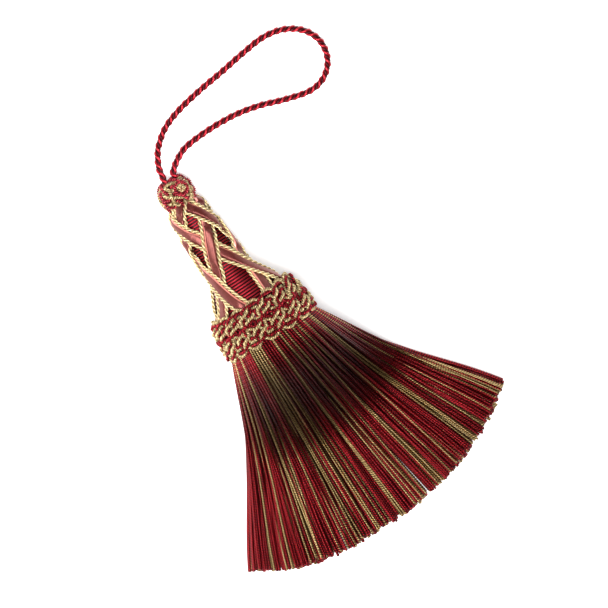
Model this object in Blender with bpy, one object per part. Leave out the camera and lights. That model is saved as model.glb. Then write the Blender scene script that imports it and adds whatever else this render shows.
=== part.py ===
"""Silk tassel with a trellis head, a looped ruff, a fanned skirt and a hanging loop.

The tassel lies on its side on a surface at z = 0, in metres, +Z up. Its knot points to +Y and its skirt
to -Y. The origin is on the surface, in the middle of the tassel's outline without the hanging loop.
Every shape is worked out in millimetres and turned into metres when its mesh is made.
"""
import math

import bpy
import bmesh
from mathutils import Vector

MM = 0.001
SMALL_ROW_STEP = 0.05
CURVE_STEPS = 12

# The head is round about an axis that runs from the knot to the skirt and rises, because the wide ruff
# and the small knot both rest on the surface.
KNOT_CENTRE = Vector((-4.96, 81.23, 7.3))
AXIS_RISE = math.radians(13.8)
AXIS = Vector((0.0, -math.cos(AXIS_RISE), math.sin(AXIS_RISE)))
ABOVE = Vector((0.0, math.sin(AXIS_RISE), math.cos(AXIS_RISE)))
SIDE = Vector((1.0, 0.0, 0.0))

# The knot and the head's upper part lie a little to -X of the axis: distance along it, and the shift.
AXIS_BEND = ((-8.0, -0.9), (0.0, -1.0), (11.0, -1.2), (24.0, -0.9), (37.0, -0.5), (47.0, -0.1),
             (56.0, 0.0), (80.0, 0.0))

# Head: distance along the axis from the middle of the knot, and radius of the cord-wrapped mould.
HEAD_PROFILE = ((5.4, 3.4), (6.0, 5.0), (7.3, 6.3), (9.6, 7.05), (12.0, 7.25), (18.0, 7.6), (24.0, 7.9),
                (30.0, 8.2), (34.0, 8.5), (37.0, 9.0), (40.0, 10.0), (43.2, 11.3), (46.4, 12.7),
                (49.6, 14.0), (53.0, 15.0), (56.7, 15.4))
HEAD_SIDES = 12
RIB_START = 8.0
RIB_END = 51.2
RIB_PITCH = 1.2
RIB_DEPTH = 0.3

# Trellis: four ribbons wind each way, an eighth of a turn in every row of diamonds. A row's number
# gives its distance along the axis. In each row a ribbon is measured where it starts to climb over or
# dive under the other family, halfway, where it has arrived, and at the crossing. The whole trellis
# also turns a few degrees about the axis on its way down.
ROWS = ((-1.0, 3.0), (0.0, 13.2), (1.0, 24.9), (2.0, 40.4), (3.0, 66.0))
TRELLIS_TURN = ((-1.0, -8.0), (0.0, -6.0), (1.0, -2.5), (2.0, 5.0), (3.0, 14.0))
BANDS_EACH_WAY = 4
BAND_START = -0.5
BAND_END = 2.5
FIRST_PHASES = (BAND_START, -5 / 12, -1 / 3, -1 / 6)
CLIMB_SHARES = (0.0, 1 / 3, 1 / 2, 2 / 3)
RIBBON_WIDTH = 3.7
RIBBON_THICK = 0.4
PIPING_OFFSET = 2.9
PIPING_WIDTH = 1.4
UNDER_HEIGHT = 0.6
OVER_LIFT = 1.0
PIPING_HEIGHT_UNDER = 0.45
PIPING_HEIGHT_OVER = 0.95
CROSSING_SHARPNESS = 3.5

# Ruff: one gimp cord goes four times round the foot of the head in fifteen waves.
RUFF_CENTRE = 59.65
RUFF_HALF_HEIGHT = 6.4
RUFF_RADIUS = 19.95
RUFF_FLARE = 0.09
RUFF_SHOULDER = 0.8
RUFF_LAYER = -1.05
LAYER_SHARPNESS = 1.5
RUFF_WAVES = 15
RUFF_LAPS = 4
RUFF_STEPS = 9
GIMP_WIDTH = 2.6
GIMP_HEIGHT = 1.6

# Knot: a smaller braid of the same cord closes the top of the head.
KNOT_HALF_HEIGHT = 4.1
KNOT_RADIUS = 5.65
KNOT_ROUND = 8.5
KNOT_LAYER = 0.95
KNOT_WAVES = 5
KNOT_LAPS = 3
KNOT_STEPS = 10
KNOT_CORD_WIDTH = 2.4
KNOT_CORD_HEIGHT = 1.5

# Skirt: roots in two rings on the band behind the head, tips on an arc on the surface.
BAND_NEAR = 57.0
BAND_FAR = 60.0
ROOT_RINGS = (13.2, 15.2, 17.2)
STRANDS_AROUND = 68
ROOT_WIDTH = 0.8
ROOT_DEPTH = 0.6
FAN_CENTRE = Vector((0.8, -61.0))
FAN_RADIUS = 107.0
FAN_MIDDLE = math.radians(3.0)
FAN_HALF = math.radians(36.0)
TIP_WIDTH = 3.1
TIP_HEIGHT = 1.0
STACK_STEP = 1.5
STOREY_NARROWS = 0.012
STOREY_SHORTENS = 0.004
UNEVEN_REACH = 0.008
UNEVEN_TURN = 7.3
SLEEVE_LENGTH = 7.0
SLEEVE_FLARE = 1.2
STRAND_STATIONS = (0.0, 0.22, 0.5, 1.0)
DROP_END = 0.6
DROP_END_BELOW = 0.2
LATE_DROP = 0.1
SIDE_BOW = 0.065

# Loop: four-ply cord, its middle line in plan from the knot's middle, and its height over the surface.
LOOP_RADIUS = 1.3
LOOP_LEAD = 6.7
LOOP_STEPS_A_TURN = 12
LOOP_ROUTE = ((-3.4, 5.3, 8.2), (-2.9, 8.6, 6.4), (-1.9, 12.2, 4.5), (0.6, 15.8, 2.6),
              (3.3, 18.6, 1.7), (9.6, 23.2, 1.4), (18.2, 26.3, 1.4), (29.9, 28.4, 1.4),
              (41.1, 29.7, 1.4), (51.8, 31.2, 1.4), (62.3, 32.1, 1.4), (70.9, 30.2, 1.4),
              (77.6, 25.2, 1.4), (80.8, 17.8, 1.4), (79.4, 9.8, 1.4), (73.9, 4.2, 1.4),
              (66.3, 2.8, 1.4), (55.9, 5.7, 1.4), (46.1, 9.4, 1.4), (36.0, 11.8, 1.4), (24.2, 12.7, 1.4),
              (13.3, 12.3, 1.8), (8.3, 11.1, 3.2), (4.3, 9.4, 5.2), (1.6, 7.4, 6.9), (1.6, 5.3, 8.2))

MATERIALS = {
    "crimson_silk": ((0.36, 0.012, 0.03), 0.5),
    "rose_satin": ((0.42, 0.10, 0.10), 0.35),
    "pale_gold": ((0.62, 0.47, 0.20), 0.45),
    "gimp": ((0.48, 0.26, 0.12), 0.5),
}


def clear_scene():
    for old in list(bpy.data.objects):
        bpy.data.objects.remove(old, do_unlink=True)


def material(name):
    """The finish of one kind of yarn."""
    found = bpy.data.materials.get(name)
    if found:
        return found
    colour, roughness = MATERIALS[name]
    made = bpy.data.materials.new(name)
    made.use_nodes = True
    shader = made.node_tree.nodes["Principled BSDF"]
    shader.inputs["Base Color"].default_value = (*colour, 1.0)
    shader.inputs["Roughness"].default_value = roughness
    shader.inputs["Metallic"].default_value = 0.0
    return made


def add_piece(name, bm, finish):
    """Close the mesh, turn its faces outwards and make it an object in metres."""
    bmesh.ops.recalc_face_normals(bm, faces=bm.faces)
    bmesh.ops.scale(bm, vec=(MM, MM, MM), verts=bm.verts)
    mesh = bpy.data.meshes.new(name)
    bm.to_mesh(mesh)
    bm.free()
    piece = bpy.data.objects.new(name, mesh)
    bpy.context.scene.collection.objects.link(piece)
    mesh.materials.append(material(finish))
    return piece


def smooth_value(table, at):
    """Read a two-column table on a smooth curve through its rows."""
    last = len(table) - 1
    row = 0
    while row < last - 1 and at > table[row + 1][0]:
        row += 1
    (x0, y0), (x1, y1) = table[row], table[row + 1]

    def slope(k):
        low, high = max(k - 1, 0), min(k + 1, last)
        return (table[high][1] - table[low][1]) / (table[high][0] - table[low][0])

    t = (at - x0) / (x1 - x0)
    step = x1 - x0
    return ((1 + 2 * t) * (1 - t) ** 2 * y0 + t * (1 - t) ** 2 * step * slope(row)
            + t * t * (3 - 2 * t) * y1 + t * t * (t - 1) * step * slope(row + 1))


def head_point(station, radius, turn):
    """A point about the head's axis. The turn starts at the top and goes towards +X."""
    out = ABOVE * math.cos(turn) + SIDE * math.sin(turn)
    return KNOT_CENTRE + AXIS * station + SIDE * smooth_value(AXIS_BEND, station) + out * radius


def rest_on_surface(point):
    return Vector((point.x, point.y, max(point.z, 0.0)))


def skin(bm, rings, closed):
    """Join rings of points with faces, and cap the two ends if the tube is open."""
    loops = [[bm.verts.new(p) for p in ring] for ring in rings]
    sides = len(loops[0])
    joins = len(loops) if closed else len(loops) - 1
    for k in range(joins):
        near, far = loops[k], loops[(k + 1) % len(loops)]
        for s in range(sides):
            t = (s + 1) % sides
            bm.faces.new((near[s], near[t], far[t], far[s]))
    if not closed:
        bm.faces.new(loops[0])
        bm.faces.new(loops[-1])


def build_head():
    """The mould with one raised rib for each turn of the wrapping cord."""
    stations = [(s, r) for s, r in HEAD_PROFILE if s < RIB_START]
    ribs = round((RIB_END - RIB_START) / RIB_PITCH)
    for k in range(ribs):
        groove = RIB_START + k * RIB_PITCH
        crest = groove + RIB_PITCH / 2
        stations.append((groove, smooth_value(HEAD_PROFILE, groove) - RIB_DEPTH))
        stations.append((crest, smooth_value(HEAD_PROFILE, crest)))
    stations.append((RIB_END, smooth_value(HEAD_PROFILE, RIB_END) - RIB_DEPTH))
    stations.append(HEAD_PROFILE[-1])
    turns = [math.tau * k / HEAD_SIDES for k in range(HEAD_SIDES)]
    bm = bmesh.new()
    skin(bm, [[head_point(s, r, turn) for turn in turns] for s, r in stations], False)
    add_piece("head", bm, "crimson_silk")


def crossing_level(phase):
    """1 where a band lies over the other family, 0 where it lies under, with a short slope between."""
    wave = 0.5 + 0.5 * CROSSING_SHARPNESS * math.cos(math.pi * phase)
    return min(1.0, max(0.0, wave))


def trellis_turn(row):
    return math.radians(smooth_value(TRELLIS_TURN, row))


def band_point(way, band, phase, across, height_at):
    """A point of a trellis band, at a phase that counts its crossings with the other family.

    Across is measured from the band's middle, and height_at gives the lift over the head's surface.
    The sections run parallel to the other family, but are square at the band's two ends.
    """
    eighth = math.pi / 4
    skew = min(1.0, (phase - BAND_START) * 2, (BAND_END - phase) * 2)
    row = phase
    for _ in range(3):
        station = smooth_value(ROWS, row)
        radius = smooth_value(HEAD_PROFILE, station)
        ahead = smooth_value(ROWS, row + SMALL_ROW_STEP) - smooth_value(ROWS, row - SMALL_ROW_STEP)
        drift = trellis_turn(row + SMALL_ROW_STEP) - trellis_turn(row - SMALL_ROW_STEP)
        sideways = eighth * 2 * SMALL_ROW_STEP + way * drift
        slant = math.hypot(1.0, sideways * radius / ahead)
        swing = across * slant / radius
        row = phase - skew * way * swing / (2 * eighth)
    turn = eighth + 2 * eighth * band + way * eighth * row + trellis_turn(row) + swing
    crossing = row + way * swing / (2 * eighth)
    level = crossing_level(crossing if way > 0 else crossing - 1)
    return head_point(station, radius + height_at(level), turn)


def ribbon_heights(level):
    low = UNDER_HEIGHT + OVER_LIFT * level
    return low, low + RIBBON_THICK


def piping_heights(level):
    low = UNDER_HEIGHT + OVER_LIFT * level
    return low, low + PIPING_HEIGHT_UNDER + (PIPING_HEIGHT_OVER - PIPING_HEIGHT_UNDER) * level


def band_phases():
    phases = list(FIRST_PHASES) + [row + share for row in range(3) for share in CLIMB_SHARES]
    return [phase for phase in phases if phase < BAND_END + 0.01]


def build_ribbon(name, way, band):
    half = RIBBON_WIDTH / 2
    corners = ((-half, 0), (half, 0), (half, 1), (-half, 1))
    rings = []
    for phase in band_phases():
        rings.append([band_point(way, band, phase, across, lambda level, k=k: ribbon_heights(level)[k])
                      for across, k in corners])
    bm = bmesh.new()
    skin(bm, rings, False)
    add_piece(name, bm, "rose_satin")


def build_piping(name, way, band, edge):
    """A cord with a four-sided section: low, outer edge, high, inner edge."""
    half = PIPING_WIDTH / 2
    corners = ((0.0, 0.0), (half, 0.5), (0.0, 1.0), (-half, 0.5))
    rings = []
    for phase in band_phases():
        ring = []
        for across, share in corners:
            def lift(level, share=share):
                low, high = piping_heights(level)
                return low + (high - low) * share
            ring.append(band_point(way, band, phase, edge * PIPING_OFFSET + across, lift))
        rings.append(ring)
    bm = bmesh.new()
    skin(bm, rings, False)
    add_piece(name, bm, "pale_gold")


def build_trellis():
    for letter, way in (("a", 1), ("b", -1)):
        for band in range(BANDS_EACH_WAY):
            name = f"{letter}{band + 1}"
            build_ribbon("ribbon_" + name, way, band)
            build_piping(f"piping_{name}_left", way, band, -1)
            build_piping(f"piping_{name}_right", way, band, 1)


def build_braid(name, waves, laps, steps, middle_line, width, height):
    """A closed cord that waves round the axis, one half of each wave over the other half."""
    count = waves * steps
    points = []
    for k in range(count):
        phase = math.tau * waves * k / count
        turn = math.tau * laps * k / count
        points.append(middle_line(phase, turn))
    half_w, half_h = width / 2, height / 2
    corners = ((half_w, 0.0), (half_w / 2, half_h), (-half_w / 2, half_h),
               (-half_w, 0.0), (-half_w / 2, -half_h), (half_w / 2, -half_h))
    rings = []
    for k in range(count):
        here, out = points[k]
        along = (points[(k + 1) % count][0] - points[k - 1][0]).normalized()
        across = along.cross(out).normalized()
        up = across.cross(along).normalized()
        rings.append([rest_on_surface(here + across * a + up * h) for a, h in corners])
    bm = bmesh.new()
    skin(bm, rings, True)
    add_piece(name, bm, "gimp")


def layer_lift(phase, layer):
    """The radial shift of a braid's cord: out on one half of its wave and in on the other."""
    return layer * max(-1.0, min(1.0, LAYER_SHARPNESS * math.sin(phase)))


def ruff_line(phase, turn):
    """A point of the ruff's cord. Its crests near the knot lean in towards the head."""
    station = RUFF_CENTRE - RUFF_HALF_HEIGHT * math.cos(phase)
    radius = RUFF_RADIUS + RUFF_FLARE * (station - RUFF_CENTRE) + layer_lift(phase, RUFF_LAYER)
    radius -= RUFF_SHOULDER * max(0.0, math.cos(phase)) ** 2
    out = ABOVE * math.cos(turn) + SIDE * math.sin(turn)
    return head_point(station, radius, turn), out


def knot_line(phase, turn):
    station = -KNOT_HALF_HEIGHT * math.cos(phase)
    lean = station / KNOT_ROUND
    radius = KNOT_RADIUS * math.sqrt(1 - lean * lean) + layer_lift(phase, KNOT_LAYER)
    out = ABOVE * math.cos(turn) + SIDE * math.sin(turn)
    return head_point(station, radius, turn), (out + AXIS * lean).normalized()


def drop_share(t, turn):
    """How much of its height a strand has lost: level at the ruff, steep, then nearly level.

    From the sides of the root ring down to its lowest point, the strands are flat sooner and sooner.
    """
    t = max(0.0, t)
    height = 1.0 + min(0.0, math.cos(turn))
    late = LATE_DROP * height
    x = min(1.0, t / (DROP_END_BELOW + (DROP_END - DROP_END_BELOW) * height))
    return (1 - late) * x * x * (3 - 2 * x) + late * t


def spread_share(t):
    """How far a strand has spread sideways, with a slight inward bow halfway."""
    return t - SIDE_BOW * math.sin(math.pi * t) ** 2


def strand_corners(ring, index, t):
    """The three corners of a strand's section at t, from the ruff's edge at 0 to its tip at 1.

    Below 0 they are at the root. The strands of the upper half of the root ring lie on the lower ones.
    """
    step = math.tau / STRANDS_AROUND
    turn = (index + 0.5) * step
    if turn > math.pi:
        turn -= math.tau
    upper = abs(turn) < math.pi / 2
    radius = (ROOT_RINGS[ring] + ROOT_RINGS[ring + 1]) / 2
    share = turn / (math.pi / 2) if upper else (math.copysign(math.pi, turn) - turn) / (math.pi / 2)
    storey = (2 + ring) if upper else (1 - ring)
    root = head_point(BAND_FAR, radius, turn)
    if t >= 0.0:
        root = head_point(BAND_FAR + SLEEVE_LENGTH, radius + SLEEVE_FLARE, turn)
    out = ABOVE * math.cos(turn) + SIDE * math.sin(turn)
    around = SIDE * math.cos(turn) - ABOVE * math.sin(turn)
    if not upper:
        out, around = -out, -around
    near_corners = (root - out * ROOT_DEPTH - around * ROOT_WIDTH / 2,
                    root - out * ROOT_DEPTH + around * ROOT_WIDTH / 2,
                    root + out * ROOT_DEPTH)
    if t < 0.0:
        return near_corners
    uneven = UNEVEN_REACH * math.sin(UNEVEN_TURN * index)
    bearing = FAN_MIDDLE + FAN_HALF * share * (1.0 - STOREY_NARROWS * storey)
    reach = FAN_RADIUS * (1.0 + uneven - STOREY_SHORTENS * storey)
    tip = Vector((KNOT_CENTRE.x + FAN_CENTRE.x + reach * math.sin(bearing),
                  KNOT_CENTRE.y + FAN_CENTRE.y - reach * math.cos(bearing), STACK_STEP * storey))
    across = Vector((math.cos(bearing), math.sin(bearing), 0.0)) * TIP_WIDTH / 2
    tip_corners = (tip - across, tip + across, tip + Vector((0.0, 0.0, TIP_HEIGHT)))
    edge = head_point(BAND_FAR + SLEEVE_LENGTH, 0.0, 0.0).y
    corners = []
    for near, far in zip(near_corners, tip_corners):
        y = near.y + (far.y - near.y) * t
        drop = drop_share((edge - y) / (edge - far.y), turn)
        corners.append(Vector((near.x + (far.x - near.x) * spread_share(t), y,
                               near.z + (far.z - near.z) * drop)))
    return corners


def build_skirt():
    """A round band with a grid of root cells on its far face, and one strand out of each cell."""
    bm = bmesh.new()
    turns = [math.tau * k / STRANDS_AROUND for k in range(STRANDS_AROUND)]
    grid = [[bm.verts.new(head_point(BAND_FAR, radius, turn)) for turn in turns] for radius in ROOT_RINGS]
    near = [bm.verts.new(head_point(BAND_NEAR, ROOT_RINGS[-1], turn)) for turn in turns]
    far_middle = bm.verts.new(head_point(BAND_FAR, 0.0, 0.0))
    near_middle = bm.verts.new(head_point(BAND_NEAR, 0.0, 0.0))
    for k in range(STRANDS_AROUND):
        j = (k + 1) % STRANDS_AROUND
        bm.faces.new((far_middle, grid[0][k], grid[0][j]))
        bm.faces.new((near_middle, near[j], near[k]))
        bm.faces.new((grid[-1][k], grid[-1][j], near[j], near[k]))
        for ring in range(len(ROOT_RINGS) - 1):
            cell = (grid[ring][k], grid[ring][j], grid[ring + 1][j], grid[ring + 1][k])
            add_strand(bm, cell, ring, k)
    add_piece("skirt", bm, "crimson_silk")


def add_strand(bm, cell, ring, index):
    """Join a root cell's four corners to a strand's three, and carry the strand to its tip."""
    middle = math.tau * (index + 0.5) / STRANDS_AROUND
    lower = math.cos(middle) < 0
    loops = [[bm.verts.new(p) for p in strand_corners(ring, index, t)] for t in (-1.0,) + STRAND_STATIONS]
    if lower:
        cell = (cell[2], cell[3], cell[0], cell[1])
    a, b, c = loops[0]
    bm.faces.new((cell[0], cell[1], b, a))
    bm.faces.new((cell[1], cell[2], c, b))
    bm.faces.new((cell[2], cell[3], c))
    bm.faces.new((cell[3], cell[0], a, c))
    for start, end in zip(loops, loops[1:]):
        for s in range(3):
            t = (s + 1) % 3
            bm.faces.new((start[s], start[t], end[t], end[s]))
    bm.faces.new(loops[-1])


def route_points(route, spacing):
    """Evenly spaced points on a smooth curve through the route."""
    fine = []
    last = len(route) - 1
    for k in range(last):
        p0, p1, p2, p3 = (Vector(route[max(0, min(last, k + d))]) for d in (-1, 0, 1, 2))
        for step in range(CURVE_STEPS):
            t = step / CURVE_STEPS
            fine.append(0.5 * (2 * p1 + (p2 - p0) * t + (2 * p0 - 5 * p1 + 4 * p2 - p3) * t * t
                               + (3 * p1 - p0 - 3 * p2 + p3) * t ** 3))
    fine.append(Vector(route[-1]))
    lengths = [0.0]
    for a, b in zip(fine, fine[1:]):
        lengths.append(lengths[-1] + (b - a).length)
    count = round(lengths[-1] / spacing)
    points, at = [], 0
    for k in range(count + 1):
        want = lengths[-1] * k / count
        while at < len(lengths) - 2 and lengths[at + 1] < want:
            at += 1
        share = (want - lengths[at]) / (lengths[at + 1] - lengths[at])
        points.append(fine[at].lerp(fine[at + 1], share))
    return points


def build_loop():
    """Four plies laid round each other: a section with four ridges that turns along the route."""
    middle = Vector((KNOT_CENTRE.x, KNOT_CENTRE.y, 0.0))
    points = route_points(LOOP_ROUTE, LOOP_LEAD / LOOP_STEPS_A_TURN)
    rings = []
    for k, here in enumerate(points):
        along = (points[min(k + 1, len(points) - 1)] - points[max(k - 1, 0)]).normalized()
        across = along.cross(Vector((0.0, 0.0, 1.0))).normalized()
        up = across.cross(along)
        ring = []
        for corner in range(4):
            angle = math.tau * (corner / 4 + k / LOOP_STEPS_A_TURN)
            ridge = across * math.cos(angle) + up * math.sin(angle)
            ring.append(middle + here + ridge * LOOP_RADIUS)
        rings.append(ring)
    bm = bmesh.new()
    skin(bm, rings, False)
    add_piece("loop_cord", bm, "crimson_silk")


clear_scene()
build_head()
build_trellis()
build_braid("ruff", RUFF_WAVES, RUFF_LAPS, RUFF_STEPS, ruff_line, GIMP_WIDTH, GIMP_HEIGHT)
build_braid("knot", KNOT_WAVES, KNOT_LAPS, KNOT_STEPS, knot_line, KNOT_CORD_WIDTH, KNOT_CORD_HEIGHT)
build_skirt()
build_loop()
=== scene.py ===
"""The looks of a silk tassel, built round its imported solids.

The yarns are modelled one by one: skirt strands, a wound head, satin ribbons with twisted piping, a looped
ruff and knot of fine cords, and a four-ply hanging loop. Sizes in the tables are millimetres unless a
comment or a property says otherwise, and meshes are made in metres.
"""

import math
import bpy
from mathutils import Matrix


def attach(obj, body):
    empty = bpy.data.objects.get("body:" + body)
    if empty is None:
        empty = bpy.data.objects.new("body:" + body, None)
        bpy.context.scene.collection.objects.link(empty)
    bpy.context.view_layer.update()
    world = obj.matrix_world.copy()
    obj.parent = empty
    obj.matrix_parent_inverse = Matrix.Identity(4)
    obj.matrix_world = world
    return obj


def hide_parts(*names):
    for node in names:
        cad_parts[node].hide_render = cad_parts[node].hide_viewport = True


bl_info = {
    "name": "Silk Tassel Dressing",
    "version": (1, 0, 0),
    "blender": (4, 5, 0),
    "location": "3D View > Sidebar > Tassel",
    "description": "Models the yarns, ribbons and cords of a silk tassel round its solids",
    "category": "Object",
}

import bpy
import numpy as np
from mathutils import Matrix, Vector

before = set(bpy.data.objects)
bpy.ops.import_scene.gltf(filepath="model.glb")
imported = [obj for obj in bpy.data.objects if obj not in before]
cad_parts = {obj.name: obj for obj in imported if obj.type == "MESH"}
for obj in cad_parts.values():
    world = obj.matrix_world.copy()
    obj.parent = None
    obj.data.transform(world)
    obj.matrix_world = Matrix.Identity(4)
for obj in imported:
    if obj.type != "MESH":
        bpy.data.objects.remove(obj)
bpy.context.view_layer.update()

MM = 0.001
BODY = "root"
TAU = math.tau

# The head's axis runs from the knot to the skirt and rises towards the ruff.
KNOT_CENTRE = np.array((-4.96, 81.23, 7.3))
AXIS_RISE = math.radians(13.8)
AXIS = np.array((0.0, -math.cos(AXIS_RISE), math.sin(AXIS_RISE)))
ABOVE = np.array((0.0, math.sin(AXIS_RISE), math.cos(AXIS_RISE)))
SIDE = np.array((1.0, 0.0, 0.0))
UP = np.array((0.0, 0.0, 1.0))
# The knot and the head's upper part lie a little to -X of the axis: distance along it, and the shift.
AXIS_BEND = ((-8.0, -0.9), (0.0, -1.0), (11.0, -1.2), (24.0, -0.9), (37.0, -0.5), (47.0, -0.1),
             (56.0, 0.0), (80.0, 0.0))

# Distance along the axis from the middle of the knot, and radius of the wound mould.
HEAD_PROFILE = ((4.2, 3.6), (5.2, 4.6), (6.0, 5.3), (7.3, 6.1), (9.6, 6.75), (12.0, 6.9), (18.0, 7.25),
                (24.0, 7.55), (30.0, 7.85), (34.0, 8.2), (37.0, 8.8), (40.0, 9.85), (43.2, 11.2),
                (46.4, 12.65), (49.6, 14.0), (53.0, 15.0), (56.7, 15.4))
WINDING_START, WINDING_END = 5.5, 53.5
# The neck goes up inside the knot, and the foot is the band that the skirt's roots are bound to.
NECK_PROFILE = ((-3.6, 1.0), (-3.0, 2.8), (0.0, 3.5), (3.5, 3.2))
FOOT_PROFILE = ((53.6, 15.0), (54.4, 17.0), (56.0, 17.5), (61.0, 17.5), (62.0, 12.0), (62.2, 0.5))

# Trellis: a row's number gives its distance along the axis.
ROWS = ((-1.0, 3.0), (0.0, 13.2), (1.0, 24.9), (2.0, 40.4), (3.0, 66.0))
TRELLIS_TURN = ((-1.0, -8.0), (0.0, -6.0), (1.0, -2.5), (2.0, 5.0), (3.0, 14.0))
BANDS_EACH_WAY = 4
BAND_START, BAND_END = -0.9, 2.5
# Height over the mould where a band lies under, and how much higher it is where it lies over.
PIPING_LOW, PIPING_RISE = 0.75, 0.8
RIBBON_LOW, RIBBON_RISE = 0.95, 0.9
CROSSING_SHARPNESS = 3.5
PIPING_OFFSET = 2.72

RUFF_CENTRE, RUFF_HALF_HEIGHT, RUFF_RADIUS, RUFF_FLARE, RUFF_SHOULDER = 59.8, 6.4, 19.25, 0.09, 1.1
RUFF_WAVES, RUFF_LAPS, RUFF_LAYER = 15, 4, -0.95
# The laps wander: number of waves in all the laps, and how far along the axis.
RUFF_WANDER = ((7, 0.45), (11, 0.35), (26, 0.25))
LAYER_SHARPNESS = 1.5
# A braid's line has this many steps a wave. Its cords change sides this sharply between the crests, and
# its plies lie this share of their thickness from its middle.
STEPS_A_WAVE, SIDE_SHARPNESS, PLY_SPREAD = 400, 3.0, 0.49
# How far a braid's plies turn over each other: more at the crossings, and less deep than wide.
OPENING, RADIAL_SQUASH = 0.3, 0.75
KNOT_MIDDLE, KNOT_HALF_HEIGHT, KNOT_RADIUS, KNOT_ROUND = 0.4, 4.3, 5.6, 8.5
KNOT_WAVES, KNOT_LAPS, KNOT_LAYER = 5, 3, 0.95

# Skirt: roots on rings behind the ruff, tips on an arc on the surface.
ROOT_STATION, SLEEVE_END, SLEEVE_FLARE = 60.0, 67.0, 1.2
FAN_CENTRE = KNOT_CENTRE[:2] + np.array((0.8, -61.0))
FAN_RADIUS = 107.0
FAN_MIDDLE, FAN_HALF = math.radians(3.0), math.radians(36.0)
# To the left the strands spread and reach farther: shares of the fan's half width and radius.
LEFT_SPREAD = 0.03
LEFT_REACH, LEFT_REACH_START, LEFT_REACH_SPAN = 0.034, 0.1, 0.65
STACK_STEP = 1.5
# A strand's two plies turn once in this length, with grooves this share of its half thickness deep.
STRAND_LEAD, GROOVE_DEPTH = 2.2, 0.4
STOREY_NARROWS, STOREY_SHORTENS = 0.012, 0.004
DROP_END, DROP_END_BELOW, LATE_DROP, SIDE_BOW = 0.6, 0.2, 0.1, 0.065

# A laid cord's plies by their number: each one's radius, and its distance from the middle, for thickness 1.
PLY_LAYS = {2: (0.28, 0.24), 4: (0.23, 0.28)}
# The last step of a closed tube's map, about the distance between its stations.
CLOSING_STEP = 0.3

# The picture's right is turned this far from the axis seen from above.
PICTURE_TURN = math.atan2(0.831, 0.556)

# Hanging loop: its middle line, in metres.
LOOP_ROUTE = ((-0.00736, 0.08653, 0.0082), (-0.00686, 0.08983, 0.0064), (-0.00596, 0.09343, 0.0045),
              (-0.00376, 0.09703, 0.0026), (-0.00136, 0.09983, 0.0017), (0.00474, 0.10443, 0.0014),
              (0.01324, 0.10753, 0.0014), (0.02494, 0.10963, 0.0014), (0.03614, 0.11093, 0.0014),
              (0.04684, 0.11243, 0.0014), (0.05734, 0.11333, 0.0014), (0.06594, 0.11143, 0.0014),
              (0.07264, 0.10643, 0.0014), (0.07584, 0.09903, 0.0014), (0.07444, 0.09103, 0.0014),
              (0.06894, 0.08543, 0.0014), (0.06134, 0.08403, 0.0014), (0.05094, 0.08693, 0.0014),
              (0.04114, 0.09063, 0.0014), (0.03104, 0.09303, 0.0014), (0.01924, 0.09393, 0.0014),
              (0.00844, 0.09353, 0.0018), (0.00364, 0.09233, 0.0032), (-6e-05, 0.09063, 0.0052),
              (-0.00246, 0.08863, 0.0069), (-0.00236, 0.08653, 0.0082))


# Curves and tables

def smooth_value(table, at):
    """Read a two-column table on a smooth curve through its rows, for one value or an array."""
    table = np.array(table)
    xs, ys = table[:, 0], table[:, 1]
    at = np.asarray(at, float)
    row = np.clip(np.searchsorted(xs, at, side="left") - 1, 0, len(xs) - 2)
    last = len(xs) - 1
    low, high = np.maximum(np.arange(last + 1) - 1, 0), np.minimum(np.arange(last + 1) + 1, last)
    slopes = (ys[high] - ys[low]) / (xs[high] - xs[low])
    step = xs[row + 1] - xs[row]
    t = (at - xs[row]) / step
    return ((1 + 2 * t) * (1 - t) ** 2 * ys[row] + t * (1 - t) ** 2 * step * slopes[row]
            + t * t * (3 - 2 * t) * ys[row + 1] + t * t * (t - 1) * step * slopes[row + 1])


def column(values):
    return np.asarray(values, float)[..., None]


def head_point(station, radius, turn):
    """Points about the head's axis. The turn starts at the top and goes towards +X."""
    bend = SIDE * column(smooth_value(AXIS_BEND, station))
    return KNOT_CENTRE + AXIS * column(station) + bend + outwards(turn) * column(radius)


def outwards(turn):
    return ABOVE * np.cos(column(turn)) + SIDE * np.sin(column(turn))


def unit(vectors):
    return vectors / np.maximum(np.linalg.norm(vectors, axis=-1, keepdims=True), 1e-12)


def lengths_along(points):
    steps = np.linalg.norm(np.diff(points, axis=0), axis=1)
    return np.concatenate(([0.0], np.cumsum(steps)))


def spaced(points, spacing, others=()):
    """The same line at even spacing, with anything else that varies along it."""
    at = lengths_along(points)
    count = max(2, round(at[-1] / spacing))
    want = np.linspace(0.0, at[-1], count + 1)

    def read(values):
        return np.stack([np.interp(want, at, values[:, k]) for k in range(values.shape[1])], axis=1)

    return read(points), [read(other) for other in others]


def smooth_route(route, steps=12):
    """A smooth curve through the points of a route."""
    route = np.array(route)
    last = len(route) - 1
    made = []
    for k in range(last):
        p0, p1, p2, p3 = (route[max(0, min(last, k + d))] for d in (-1, 0, 1, 2))
        for step in range(steps):
            t = step / steps
            made.append(0.5 * (2 * p1 + (p2 - p0) * t + (2 * p0 - 5 * p1 + 4 * p2 - p3) * t * t
                               + (3 * p1 - p0 - 3 * p2 + p3) * t ** 3))
    made.append(route[-1])
    return np.array(made)


# Yarn meshes

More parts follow.
